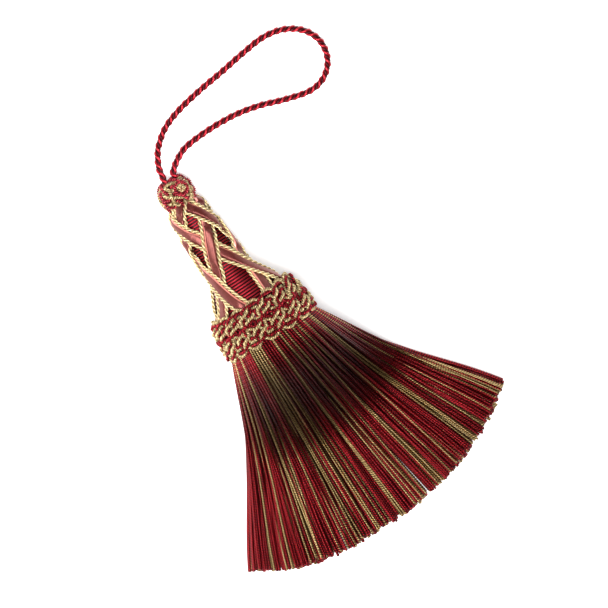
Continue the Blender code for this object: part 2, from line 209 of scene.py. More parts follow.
class Yarns:
    """Gathers tubes and strips, and makes them one mesh with a UV map, a tone with any painted shade, and
    painted light.
    """

    def __init__(self):
        self.points, self.sizes, self.corners, self.uvs = [], [], [], []
        self.tints, self.painted_lights = [], []
        self.count = 0

    def add(self, rings, closed=False, tint=0.5, relief=0.6):
        """Skin rings of points (stations, sides, 3), and cap the ends of an open tube.

        Painted light sets each side of a section, from painted shade in a groove at 0 to light on a crest at
        1.
        The tone, into which painted shade may be put, is one value, or one for each station.
        """
        stations, sides = rings.shape[:2]
        along = lengths_along(rings.mean(axis=1))
        index = self.count + np.arange(stations * sides).reshape(stations, sides)
        near = index if closed else index[:-1]
        far = np.roll(index, -1, axis=0) if closed else index[1:]
        quads = np.stack((near, np.roll(near, -1, axis=1), np.roll(far, -1, axis=1), far), axis=-1)
        self.corners.append(quads.reshape(-1))
        self.sizes.append(np.full(quads.shape[0] * sides, 4))
        u = np.arange(sides) / sides
        v0 = along if closed else along[:-1]
        v1 = np.append(along[1:], along[-1] + CLOSING_STEP) if closed else along[1:]
        u0, v0 = np.meshgrid(u, v0)
        u1, v1 = np.meshgrid(u + 1 / sides, v1)
        self.uvs.append(np.stack((u0, v0, u1, v0, u1, v1, u0, v1), axis=-1).reshape(-1, 2))
        if not closed:
            for ring, v in ((index[0][::-1], along[0]), (index[-1], along[-1])):
                self.corners.append(ring)
                self.sizes.append(np.array([sides]))
                self.uvs.append(np.stack((u, np.full(sides, v)), axis=-1))
        self.points.append(rings.reshape(-1, 3))
        self.tints.append(np.repeat(tint * np.ones(stations), sides))
        self.painted_lights.append(np.broadcast_to(relief, (stations, sides)).reshape(-1))
        self.count += stations * sides

    def make(self, name, finish):
        """One object in metres, with its place in its mesh."""
        points = np.concatenate(self.points) * MM
        corners, sizes = np.concatenate(self.corners), np.concatenate(self.sizes)
        mesh = bpy.data.meshes.new(name)
        mesh.vertices.add(len(points))
        mesh.vertices.foreach_set("co", points.astype(np.float32).ravel())
        mesh.loops.add(len(corners))
        mesh.loops.foreach_set("vertex_index", corners.astype(np.int32))
        mesh.polygons.add(len(sizes))
        starts = np.concatenate(([0], np.cumsum(sizes)[:-1]))
        mesh.polygons.foreach_set("loop_start", starts.astype(np.int32))
        mesh.polygons.foreach_set("use_smooth", sizes == 4)
        mesh.update(calc_edges=True)
        layer = mesh.uv_layers.new(name="yarn")
        layer.uv.foreach_set("vector", np.concatenate(self.uvs).astype(np.float32).ravel())
        for label, values in (("tint", self.tints), ("relief", self.painted_lights)):
            attribute = mesh.attributes.new(label, "FLOAT", "POINT")
            attribute.data.foreach_set("value", np.concatenate(values).astype(np.float32))
        mesh.validate()
        made = bpy.data.objects.new(name, mesh)
        bpy.context.scene.collection.objects.link(made)
        mesh.materials.append(finish)
        return made


def line_frame(points, out, closed=False):
    """Across and out vectors at each point of a line, square to it."""
    if closed:
        along = unit(np.roll(points, -1, axis=0) - np.roll(points, 1, axis=0))
    else:
        along = unit(np.gradient(points, axis=0))
    across = unit(np.cross(along, out))
    return across, np.cross(across, along)


def tube_rings(points, across, out, half_width, half_height, sides, angle=0.0):
    """Elliptic sections round a line. The angle turns each section."""
    corner = TAU * np.arange(sides) / sides
    a = np.asarray(half_width * np.ones(len(points)))[:, None] * np.cos(corner)
    b = np.asarray(half_height * np.ones(len(points)))[:, None] * np.sin(corner)
    turn = np.asarray(angle * np.ones(len(points)))[:, None]
    x, y = a * np.cos(turn) - b * np.sin(turn), a * np.sin(turn) + b * np.cos(turn)
    return points[:, None] + across[:, None] * x[..., None] + out[:, None] * y[..., None]


def twisted_rings(points, across, out, half, sides, lead):
    """Sections with two opposite ridges that turn once in every lead, in step with the strand finish."""
    corner = TAU * np.arange(sides) / sides
    ridge = 0.5 + 0.5 * np.cos(2 * (corner - TAU * lengths_along(points)[:, None] / lead))
    size = half * (1.0 - GROOVE_DEPTH + GROOVE_DEPTH * ridge)
    return (points[:, None] + across[:, None] * (size * np.cos(corner))[..., None]
            + out[:, None] * (size * np.sin(corner))[..., None])


def crest_painted_light(sides, crest=0.0):
    """Painted light round a section: light on its crest, at one angle, and painted shade in its groove."""
    return 0.5 + 0.5 * np.cos(TAU * np.arange(sides) / sides - crest)


def laid_cord(yarns, points, out, diameter, lead, plies=2, sides=6, closed=False, tints=(0.3, 0.7),
              flat=1.0, fatness=(1.0,)):
    """Round plies laid round each other along a line. Yarns holds one gatherer, or one for each ply.

    Flat narrows the cord's height, as where it is pressed under something. Fatness scales each ply.
    """
    across, up = line_frame(points, out, closed)
    along = lengths_along(points)
    total = along[-1] + (np.linalg.norm(points[0] - points[-1]) if closed else 0.0)
    turns = total / lead
    if closed:
        turns = max(1, round(turns))
    radius, offset = PLY_LAYS[plies]
    radius, offset = radius * diameter, offset * diameter
    flat = np.asarray(flat * np.ones(len(points)))[:, None]
    for k in range(plies):
        angle = TAU * (turns * along / total + k / plies)
        fat = radius * fatness[k % len(fatness)]
        middle = (points + across * (offset * np.cos(angle))[:, None]
                  + up * flat * (offset * np.sin(angle))[:, None])
        gatherer = yarns[k] if isinstance(yarns, (list, tuple)) else yarns
        rings = tube_rings(middle, across, up * flat, fat, fat, sides, angle)
        # Each ply is painted light on its outer crest and painted shade in its grooves.
        gatherer.add(rings, closed, tints[k % len(tints)], crest_painted_light(sides))


# Shader maths

class Sum:
    """A shader socket that adds, subtracts, multiplies and raises to powers with Math nodes."""

    def __init__(self, net, socket):
        self.net, self.socket = net, socket

    def joined(self, operation, first, second):
        return self.net.node("ShaderNodeMath", {"operation": operation}, first, second)

    def __add__(self, other):
        return self.joined("ADD", self, other)

    def __sub__(self, other):
        return self.joined("SUBTRACT", self, other)

    def __rsub__(self, other):
        return self.joined("SUBTRACT", other, self)

    def __mul__(self, other):
        return self.joined("MULTIPLY", self, other)

    __radd__, __rmul__ = __add__, __mul__

    def __pow__(self, other):
        return self.joined("POWER", self, other)


class Finish:
    """A material whose nodes are written as calls and expressions."""

    def __init__(self, name):
        self.material = bpy.data.materials.new(name)
        self.material.use_nodes = True
        self.tree = self.material.node_tree
        self.shader = self.tree.nodes["Principled BSDF"]

    def node(self, kind, settings=None, *inputs, output=0, **named):
        """Add a node, apply its settings, then set or link its sockets. Returns one output, wrapped."""
        made = self.tree.nodes.new(kind)
        for key, value in (settings or {}).items():
            if key == "stops":
                ramp = made.color_ramp
                while len(ramp.elements) < len(value):
                    ramp.elements.new(1.0)
                for element, (place, colour) in zip(ramp.elements, value):
                    element.position, element.color = place, (*colour, 1.0)
            else:
                setattr(made, key, value)
        given = list(enumerate(inputs)) + [(key.replace("_", " "), value) for key, value in named.items()]
        for key, value in given:
            self.feed(made.inputs[key], value)
        return Sum(self, made.outputs[output])

    def feed(self, socket, value):
        if isinstance(value, Sum):
            self.tree.links.new(value.socket, socket)
        elif value is not None:
            socket.default_value = value

    def mix(self, factor, first, second, blend="MIX"):
        """Mix two colours."""
        made = self.tree.nodes.new("ShaderNodeMix")
        made.data_type, made.blend_type = "RGBA", blend
        for index, value in ((0, factor), (6, first), (7, second)):
            self.feed(made.inputs[index], opaque(value))
        return Sum(self, made.outputs[2])

    def set(self, **sockets):
        """Set or link the shader's own sockets."""
        for key, value in sockets.items():
            self.feed(self.shader.inputs[key.replace("_", " ")], opaque(value))
        return self


def opaque(value):
    """A colour with its alpha. Anything else stays as it is."""
    return (*value, 1.0) if isinstance(value, tuple) and len(value) == 3 else value


# What brightens a yarn: painted light on its crests, its tone with any painted shade, its filaments, and a
# grain of this scale.
PAINTED_LIGHT_SHARE, TONE_AND_PAINTED_SHADE_SHARE, FILAMENT_SHARE, GRAIN_SHARE = 0.75, 0.6, 0.15, 0.35
GRAIN_SCALE, FILAMENT_TURNS = 900.0, 5.0
# Bump of the filaments, and of the two plies of a strand: distance in metres.
FILAMENT_BUMP, PLY_BUMP, PLY_BUMP_STRENGTH = 0.0001, 0.0003, 0.7


def yarn_finish(name, deep, bright, roughness, metallic, lead=None, ply_pitch=0.5, bump_strength=0.3):
    """Silk yarn: painted shade in the grooves, a tone for each strand with any painted shade, fine diagonal
    filaments, and a soft gloss.

    A lead in mm paints shade into the grooves of a two-ply twist that turns once in that length.
    """
    f = Finish(name)
    uv = f.node("ShaderNodeUVMap", {"uv_map": "yarn"})
    split = f.tree.nodes.new("ShaderNodeSeparateXYZ")
    f.feed(split.inputs[0], uv)
    u, v = Sum(f, split.outputs[0]), Sum(f, split.outputs[1])
    tint = f.node("ShaderNodeAttribute", {"attribute_name": "tint"}, output=2)
    relief = f.node("ShaderNodeAttribute", {"attribute_name": "relief"}, output=2)
    lay = u * FILAMENT_TURNS + v * (1.0 / ply_pitch)
    filament = f.node("ShaderNodeMath", {"operation": "SINE"}, lay * TAU)
    ridge = filament * 0.5 + 0.5
    grain = f.node("ShaderNodeTexNoise", None, Vector=f.node("ShaderNodeTexCoord", None, output=3),
                   Scale=GRAIN_SCALE, Detail=2.0)
    height, distance = ridge, FILAMENT_BUMP
    if lead:
        plies = f.node("ShaderNodeMath", {"operation": "COSINE"}, (u - v * (1.0 / lead)) * (2 * TAU))
        relief = plies * 0.5 + 0.5
        height, distance, bump_strength = relief, PLY_BUMP, PLY_BUMP_STRENGTH
    # Painted light and shade: crests lighter and grooves darker, on top of the yarn's tone.
    shade = (relief * PAINTED_LIGHT_SHARE + (tint - 0.5) * TONE_AND_PAINTED_SHADE_SHARE + ridge * FILAMENT_SHARE
             + (grain - 0.5) * GRAIN_SHARE)
    colour = f.mix(f.node("ShaderNodeClamp", None, shade), deep, bright)
    bump = f.node("ShaderNodeBump", None, Height=height, Distance=distance, Strength=bump_strength)
    f.set(Base_Color=colour, Roughness=roughness, Normal=bump, Metallic=metallic)
    return f.material


def satin_finish(name, deep, bright, edge):
    """Ribbon satin: a fine cross weave, a glossy rose face and a pale painted highlight by one edge."""
    f = Finish(name)
    uv = f.node("ShaderNodeUVMap", {"uv_map": "yarn"})
    split = f.tree.nodes.new("ShaderNodeSeparateXYZ")
    f.feed(split.inputs[0], uv)
    v = Sum(f, split.outputs[1])
    weave = f.node("ShaderNodeMath", {"operation": "SINE"}, v * (TAU / 0.5)) * 0.5 + 0.5
    grain = f.node("ShaderNodeTexNoise", None, Vector=f.node("ShaderNodeTexCoord", None, output=3),
                   Scale=1500.0, Detail=2.0)
    shade = weave * 0.4 + (grain - 0.5) * 0.9 + 0.25
    body = f.mix(f.node("ShaderNodeClamp", None, shade), deep, bright)
    relief = f.node("ShaderNodeAttribute", {"attribute_name": "relief"}, output=2)
    # The pale painted highlight is mixed in by one edge.
    colour = f.mix(relief, body, edge)
    bump = f.node("ShaderNodeBump", None, Height=weave, Distance=0.0001, Strength=0.5)
    f.set(Base_Color=colour, Roughness=0.31, Normal=bump, Metallic=0.5, Specular_IOR_Level=0.8,
          Specular_Tint=(1.0, 0.75, 0.66), Sheen_Weight=0.08, Sheen_Tint=(1.0, 0.5, 0.45))
    return f.material


# Settings

def colour_property(name, description, default):
    return bpy.props.FloatVectorProperty(name=name, description=description, default=default, size=3,
                                         min=0.0, max=1.0, subtype="COLOR")


def size_property(name, description, default):
    return bpy.props.FloatProperty(name=name, description=description, default=default, min=0.05,
                                   unit="LENGTH")


class TasselYarnSettings(bpy.types.PropertyGroup):
    """Colours and thicknesses of the tassel's yarns."""

    crimson_deep: colour_property("Crimson shade", "Darkest crimson silk", (0.030, 0.001, 0.002))
    crimson_bright: colour_property("Crimson light", "Brightest crimson silk", (0.52, 0.022, 0.036))
    gold_deep: colour_property("Gold shade", "Darkest gold silk", (0.20, 0.115, 0.03))
    gold_bright: colour_property("Gold light", "Brightest gold silk", (0.92, 0.75, 0.41))
    coral_deep: colour_property("Coral shade", "Darkest crimson of the ruff and the knot",
                                (0.060, 0.002, 0.004))
    coral_bright: colour_property("Coral light", "Brightest crimson of the ruff and the knot",
                                  (0.72, 0.060, 0.085))
    crimson_strand_deep: colour_property("Crimson strand shade", "Darkest crimson of the skirt",
                                         (0.012, 0.0004, 0.0008))
    crimson_strand_bright: colour_property("Crimson strand light", "Brightest crimson of the skirt",
                                           (0.46, 0.023, 0.031))
    gold_strand_deep: colour_property("Gold strand shade", "Darkest gold of the skirt",
                                      (0.070, 0.032, 0.006))
    gold_strand_bright: colour_property("Gold strand light", "Brightest gold of the skirt",
                                        (0.85, 0.60, 0.27))
    burgundy_deep: colour_property("Burgundy shade", "Darkest burgundy silk", (0.012, 0.001, 0.002))
    burgundy_bright: colour_property("Burgundy light", "Brightest burgundy silk", (0.075, 0.004, 0.009))
    rose_deep: colour_property("Rose shade", "Darkest rose satin", (0.060, 0.006, 0.006))
    rose_bright: colour_property("Rose light", "Brightest rose satin", (0.19, 0.034, 0.028))
    # A pale line by one edge of each ribbon, a painted highlight.
    rose_painted_highlight: colour_property("Rose edge", "Pale line by a ribbon's edge", (0.85, 0.30, 0.26))
    strand_thickness: size_property("Strand", "Thickness of a skirt strand", 0.0012)
    piping_thickness: size_property("Piping", "Thickness of the trellis piping", 0.0015)
    ruff_cord_thickness: size_property("Ruff cord", "Thickness of one ply of the ruff's cord", 0.00145)
    knot_cord_thickness: size_property("Knot cord", "Thickness of one ply of the knot's cord", 0.00155)
    loop_thickness: size_property("Loop", "Thickness of the hanging loop's cord", 0.0026)
    ribbon_width: size_property("Ribbon", "Width of a trellis ribbon", 0.0037)


class TasselStageSettings(bpy.types.PropertyGroup):
    """Camera, floor and lights."""

    aim: bpy.props.FloatVectorProperty(name="Aim", description="Point at the middle of the picture",
                                       default=(0.0120, 0.01894, 0.0267), size=3, subtype="TRANSLATION")
    distance: size_property("Distance", "Camera distance from the aim", 3.0)
    frame_width: size_property("Frame width", "Width of the picture at the aim", 0.2432)
    lean: bpy.props.FloatProperty(name="Lean", description="Camera lean from the vertical, to the knot",
                                  default=math.radians(17.3), subtype="ANGLE")
    key_energy: bpy.props.FloatProperty(name="Key", description="Power of the key light", default=24.0,
                                        min=0.0, unit="POWER")
    fill_energy: bpy.props.FloatProperty(name="Fill", description="Power of the fill light", default=3.0,
                                         min=0.0, unit="POWER")
    surroundings: bpy.props.FloatProperty(name="Surroundings", description="Brightness of the studio",
                                          default=0.05, min=0.0)


def settings():
    return bpy.context.scene.tassel_yarns


# Each silk's roughness, metallic value and, for the skirt's strands, the lead of its twist.
SILKS = (("crimson", 0.42, 0.85, None), ("coral", 0.42, 0.7, None), ("gold", 0.42, 0.6, None),
         ("burgundy", 0.45, 0.7, None), ("crimson_strand", 0.36, 0.9, STRAND_LEAD),
         ("gold_strand", 0.36, 0.9, STRAND_LEAD))


def finishes():
    """The yarn materials, made once."""
    s = settings()
    made = {}
    for name, roughness, metallic, lead in SILKS:
        key = name + "_silk"
        deep, bright = tuple(getattr(s, name + "_deep")), tuple(getattr(s, name + "_bright"))
        made[name] = bpy.data.materials.get(key) or yarn_finish(key, deep, bright, roughness, metallic, lead)
    made["satin"] = (bpy.data.materials.get("rose_satin")
                     or satin_finish("rose_satin", tuple(s.rose_deep), tuple(s.rose_bright),
                                     tuple(s.rose_painted_highlight)))
    return made


def deselect():
    for item in bpy.context.selected_objects:
        item.select_set(False)


def place(piece, slot, *nodes):
    """Let a finished piece ride on the tassel and stand for its solids. The slot is not used."""
    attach(piece, BODY)
    if nodes:
        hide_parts(*nodes)
    return piece


# Operators

class TASSEL_OT_stage(bpy.types.Operator):
    """Add the camera over the tassel, a pale floor and soft studio lights"""

    bl_idname = "tassel.stage"
    bl_label = "Stage"

    FLOOR_SIZE = 12.0
    KEY_PLACE, KEY_SIZE = (-0.18, 0.16, 1.0), 0.5
    FILL_PLACE, FILL_SIZE = (-0.9, 0.27, 0.3), 0.45
    LIT_POINT = (0.0, 0.0, 0.01)

    def execute(self, context):
        s = context.scene.tassel_stage
        back = Vector((0.0, math.sin(s.lean), math.cos(s.lean)))
        down_axis = Vector((0.0, -math.cos(s.lean), math.sin(s.lean)))
        side = Vector((1.0, 0.0, 0.0))
        right = side * math.sin(PICTURE_TURN) + down_axis * math.cos(PICTURE_TURN)
        up = side * math.cos(PICTURE_TURN) - down_axis * math.sin(PICTURE_TURN)
        deselect()
        bpy.ops.object.camera_add(location=Vector(s.aim) + back * s.distance)
        camera = context.object
        camera.name = "camera"
        camera.rotation_euler = Matrix((right, up, back)).transposed().to_euler()
        camera.data.sensor_width = 36.0
        camera.data.lens = camera.data.sensor_width * s.distance / s.frame_width
        camera.data.clip_start, camera.data.clip_end = 0.05, 20.0
        context.scene.camera = camera
        bpy.ops.mesh.primitive_plane_add(size=self.FLOOR_SIZE, location=(0.0, 0.0, 0.0))
        floor = context.object
        floor.name = "floor"
        paper = Finish("floor_paper")
        paper.set(Base_Color=(0.86, 0.86, 0.86), Roughness=0.9, Specular_IOR_Level=0.1,
                  Emission_Color=(1.0, 1.0, 1.0), Emission_Strength=0.55)
        floor.data.materials.append(paper.material)
        self.light(context, "key_light", self.KEY_PLACE, self.KEY_SIZE, s.key_energy)
        self.light(context, "fill_light", self.FILL_PLACE, self.FILL_SIZE, s.fill_energy)
        world = bpy.data.worlds.new("studio")
        world.use_nodes = True
        world.node_tree.nodes["Background"].inputs[0].default_value = (1.0, 1.0, 1.0, 1.0)
        world.node_tree.nodes["Background"].inputs[1].default_value = s.surroundings
        context.scene.world = world
        context.scene.view_settings.view_transform = "Standard"
        return {"FINISHED"}

    def light(self, context, name, location, size, energy):
        deselect()
        bpy.ops.object.light_add(type="AREA", location=location)
        lamp = context.object
        lamp.name = name
        lamp.data.size = size
        lamp.data.energy = energy
        away = Vector(location) - Vector(self.LIT_POINT)
        lamp.rotation_euler = away.to_track_quat("Z", "Y").to_euler()


class TASSEL_OT_hanging_loop(bpy.types.Operator):
    """Lay the four-ply hanging loop along its route"""

    bl_idname = "tassel.hanging_loop"
    bl_label = "Hanging loop"

    LEAD = 6.7
    SIDES = 8
    SPACING, PATH_SPACING = 0.4, 2.0
    TINTS, FATNESS = (0.65, 0.4, 0.75, 0.5), (1.28, 0.75)

    def execute(self, context):
        s, finish = settings(), finishes()
        route = smooth_route(np.array(LOOP_ROUTE) / MM)
        points, _ = spaced(route, self.SPACING)
        crimson, burgundy = Yarns(), Yarns()
        laid_cord([crimson, burgundy, crimson, burgundy], points, UP, s.loop_thickness / MM, self.LEAD,
                  plies=4, sides=self.SIDES, tints=self.TINTS, fatness=self.FATNESS)
        bright = crimson.make("loop_crimson_plies", finish["crimson"])
        dark = burgundy.make("loop_burgundy_plies", finish["burgundy"])
        place(bright, "loop_cord", "loop_cord")
        place(dark, "loop_cord")
        path, _ = spaced(route, self.PATH_SPACING)
        return {"FINISHED"}


class TASSEL_OT_wound_head(bpy.types.Operator):
    """Wind the head's mould with fine crimson cord"""

    bl_idname = "tassel.wound_head"
    bl_label = "Wound head"

    PITCH = 1.2
    CORD_RADIUS, CORD_SIDES = 0.42, 8
    CORE_DEPTH = 0.75
    STEPS_A_TURN = 48

    def execute(self, context):
        finish = finishes()
        core, winding = Yarns(), Yarns()
        turns = TAU * np.arange(self.STEPS_A_TURN) / self.STEPS_A_TURN
        body = [(station, radius - self.CORE_DEPTH) for station, radius in HEAD_PROFILE]
        rings = [head_point(np.full(len(turns), station), np.full(len(turns), radius), turns)
                 for station, radius in list(NECK_PROFILE) + body[:-2] + list(FOOT_PROFILE)]
        # The mould is near-black burgundy, so it shows between the winding's turns as painted shade.
        core.add(np.stack(rings), tint=0.2)
        rounds = round((WINDING_END - WINDING_START) / self.PITCH)
        k = np.arange(rounds * self.STEPS_A_TURN + 1)
        turn = TAU * k / self.STEPS_A_TURN
        station = WINDING_START + (WINDING_END - WINDING_START) * k / k[-1]
        radius = smooth_value(HEAD_PROFILE, station) - self.CORD_RADIUS
        points, out = head_point(station, radius, turn), outwards(turn)
        across, up = line_frame(points, out)
        rings = tube_rings(points, across, up, self.CORD_RADIUS, self.CORD_RADIUS, self.CORD_SIDES)
        # The cord is painted light on its outer crest and painted shade on its sides, darkening fast.
        winding.add(rings, tint=0.1, relief=crest_painted_light(self.CORD_SIDES, TAU / 4) ** 3)
        mould = core.make("head_mould", finish["burgundy"])
        cord = winding.make("head_winding", finish["crimson"])
        place(cord, "head_cord", "head")
        place(mould, "head_cord")
        return {"FINISHED"}


def crossing_level(phase):
    """1 where a band lies over the other family, 0 where it lies under."""
    wave = np.clip(0.5 + 0.5 * CROSSING_SHARPNESS * np.cos(math.pi * phase), 0.0, 1.0)
    return wave * wave * (3 - 2 * wave)


def piping_height(level):
    return PIPING_LOW + PIPING_RISE * level


def trellis_turn(row):
    return np.radians(smooth_value(TRELLIS_TURN, row))


def band_points(way, band, phases, across, height_at):
    """Points of a trellis band. The sections run parallel to the other family of bands."""
    eighth = math.pi / 4
    small = 0.05
    skew = np.minimum(1.0, np.minimum((phases - BAND_START) * 2, (BAND_END - phases) * 2))
    row = phases
    for _ in range(3):
        station = smooth_value(ROWS, row)
        radius = smooth_value(HEAD_PROFILE, station)
        ahead = smooth_value(ROWS, row + small) - smooth_value(ROWS, row - small)
        sideways = eighth * 2 * small + way * (trellis_turn(row + small) - trellis_turn(row - small))
        slant = np.hypot(1.0, sideways * radius / ahead)
        level = crossing_level(phases if way > 0 else phases - 1)
        swing = across * slant / (radius + height_at(level))
        row = phases - skew * way * swing / (2 * eighth)
    turn = eighth + 2 * eighth * band + way * eighth * row + trellis_turn(row) + swing
    crossing = row + way * swing / (2 * eighth)
    level = crossing_level(crossing if way > 0 else crossing - 1)
    return head_point(station, radius + height_at(level), turn), outwards(turn), level


class TASSEL_OT_trellis(bpy.types.Operator):
    """Wrap the satin ribbons and their twisted piping round the head in a trellis"""

    bl_idname = "tassel.trellis"
    bl_label = "Trellis"

    PIPING_LEAD, PIPING_STEPS, PIPING_SPACING, PIPING_PRESSED = 4.2, 600, 0.3, 0.75
    RIBBON_STEPS, ACROSS_STEPS = 110, 14
    RIBBON_THICKNESS, CROWN = 0.16, 0.1
    # Past this share of the half width, one edge of a ribbon takes the painted highlight.
    PAINTED_HIGHLIGHT_START = 0.85
    ROLL_START, ROLL_DEPTH = 0.72, 0.42

    def execute(self, context):
        s, finish = settings(), finishes()
        phases = np.linspace(BAND_START, BAND_END, self.PIPING_STEPS)
        for letter, way in (("a", 1), ("b", -1)):
            for band in range(BANDS_EACH_WAY):
                name = f"{letter}{band + 1}"
                ribbon = self.ribbon(name, way, band, s.ribbon_width / MM, finish["satin"])
                place(ribbon, "satin_ribbon", "ribbon_" + name)
                for edge, side in ((-1, "left"), (1, "right")):
                    offset = edge * PIPING_OFFSET
                    points, out, level = band_points(way, band, phases, offset, piping_height)
                    line, (out, level) = spaced(points, self.PIPING_SPACING, (out, level[:, None]))
                    flat = self.PIPING_PRESSED + (1 - self.PIPING_PRESSED) * level[:, 0]
                    yarns = Yarns()
                    laid_cord(yarns, line, out, s.piping_thickness / MM, self.PIPING_LEAD, sides=5,
                              tints=(0.65, 0.5), flat=flat)
                    piece = yarns.make(f"piping_{name}_{side}_yarn", finish["gold"])
                    place(piece, "gold_piping", f"piping_{name}_{side}")
        return {"FINISHED"}

    def ribbon(self, name, way, band, width, finish):
        """A thin satin strip whose two edges roll down."""
        phases = np.linspace(BAND_START, BAND_END, self.RIBBON_STEPS)
        shares = np.sin(np.linspace(-1.0, 1.0, self.ACROSS_STEPS) * math.pi / 2)
        thick = self.RIBBON_THICKNESS
        rows = [self.ribbon_row(way, band, phases, share, width, thick) for share in shares]
        rows += [self.ribbon_row(way, band, phases, share, width, 0.0) for share in shares[::-1]]
        # One edge of the ribbon is marked for the painted highlight.
        painted_highlight = np.concatenate((shares, shares[::-1])) * way > self.PAINTED_HIGHLIGHT_START
        yarns = Yarns()
        yarns.add(np.stack(rows, axis=1), relief=painted_highlight.astype(float))
        return yarns.make(f"ribbon_{name}_satin", finish)

    def ribbon_row(self, way, band, phases, share, width, thick):
        rolled = max(0.0, (abs(share) - self.ROLL_START) / (1 - self.ROLL_START))
        lift = RIBBON_LOW + thick - self.ROLL_DEPTH * rolled ** 2 + self.CROWN * (1 - share * share)

        def height(level):
            return lift + RIBBON_RISE * level

        return band_points(way, band, phases, share * width / 2, height)[0]


def layer_lift(phase, layer):
    return layer * np.clip(LAYER_SHARPNESS * np.sin(phase), -1.0, 1.0)


def ruff_line(phase, turn):
    """The middle line of the ruff's cords, whose crests near the knot lean in."""
    station = RUFF_CENTRE - RUFF_HALF_HEIGHT * np.cos(phase)
    for waves, sway in RUFF_WANDER:
        station = station + sway * np.sin(waves * turn / RUFF_LAPS + waves)
    shoulder = RUFF_SHOULDER * np.maximum(0.0, np.cos(phase)) ** 2
    radius = RUFF_RADIUS + RUFF_FLARE * (station - RUFF_CENTRE) - shoulder + layer_lift(phase, RUFF_LAYER)
    return head_point(station, radius, turn), outwards(turn)


def knot_line(phase, turn):
    station = -KNOT_HALF_HEIGHT * np.cos(phase)
    lean = station / KNOT_ROUND
    radius = KNOT_RADIUS * np.sqrt(1 - lean * lean) + layer_lift(phase, KNOT_LAYER)
    return head_point(station + KNOT_MIDDLE, radius, turn), unit(outwards(turn) + AXIS * column(lean))


def braid(line, waves, laps, spacing, cords, turns, ply_size, sub_lead):
    """Closed cords of one or two plies that wave round the axis side by side.

    The plies of a cord are twisted where it crosses over itself, and lie side by side round each crest,
    the first ply always outside. Each ply is itself laid from two finer yarns.
    """
    count = waves * STEPS_A_WAVE
    k = np.arange(count + 1)
    phase = TAU * waves * k / count
    points, out = line(phase, TAU * laps * k / count)
    points, (out, phase) = spaced(points, spacing, (out, phase[:, None]))
    points, out, phase = points[:-1], unit(out[:-1]), phase[:-1, 0]
    across, up = line_frame(points, out, closed=True)
    first = np.sign(np.dot(across[0], -AXIS))
    outer_side = first * np.clip(SIDE_SHARPNESS * np.cos(phase), -1.0, 1.0)
    twist = turns * (phase - OPENING * np.sin(2 * phase) / 2)
    for shift, plies in cords:
        middle = points + across * (outer_side * shift)[:, None]
        for side, gatherer in zip((1, -1), plies):
            spread = side * first * ply_size * PLY_SPREAD * (len(plies) - 1)
            ply = middle + across * (spread * np.cos(twist))[:, None]
            ply = ply + up * (spread * RADIAL_SQUASH * np.sin(twist))[:, None]
            ply[:, 2] = np.maximum(ply[:, 2], ply_size / 2)
            # Each ply's second, darker yarn is painted shade standing for the ribs' own shadow.
            laid_cord(gatherer, ply, out, ply_size, sub_lead, sides=5, closed=True, tints=(0.5, -0.1))


class TASSEL_OT_ruff(bpy.types.Operator):
    """Wave the ruff's two two-colour cords round the foot of the head"""

    bl_idname = "tassel.ruff"
    bl_label = "Ruff"

    TWIST = -5
    SUB_LEAD = 1.8
    SPACING = 0.33

    def execute(self, context):
        s, finish = settings(), finishes()
        gold, crimson = Yarns(), Yarns()
        ply = s.ruff_cord_thickness / MM
        cords = ((ply, (gold, crimson)), (-ply, (gold, crimson)))
        braid(ruff_line, RUFF_WAVES, RUFF_LAPS, self.SPACING, cords, self.TWIST, ply, self.SUB_LEAD)
        place(gold.make("ruff_gold_plies", finish["gold"]), "gimp_cord", "ruff")
        place(crimson.make("ruff_crimson_plies", finish["crimson"]), "gimp_cord")
        return {"FINISHED"}


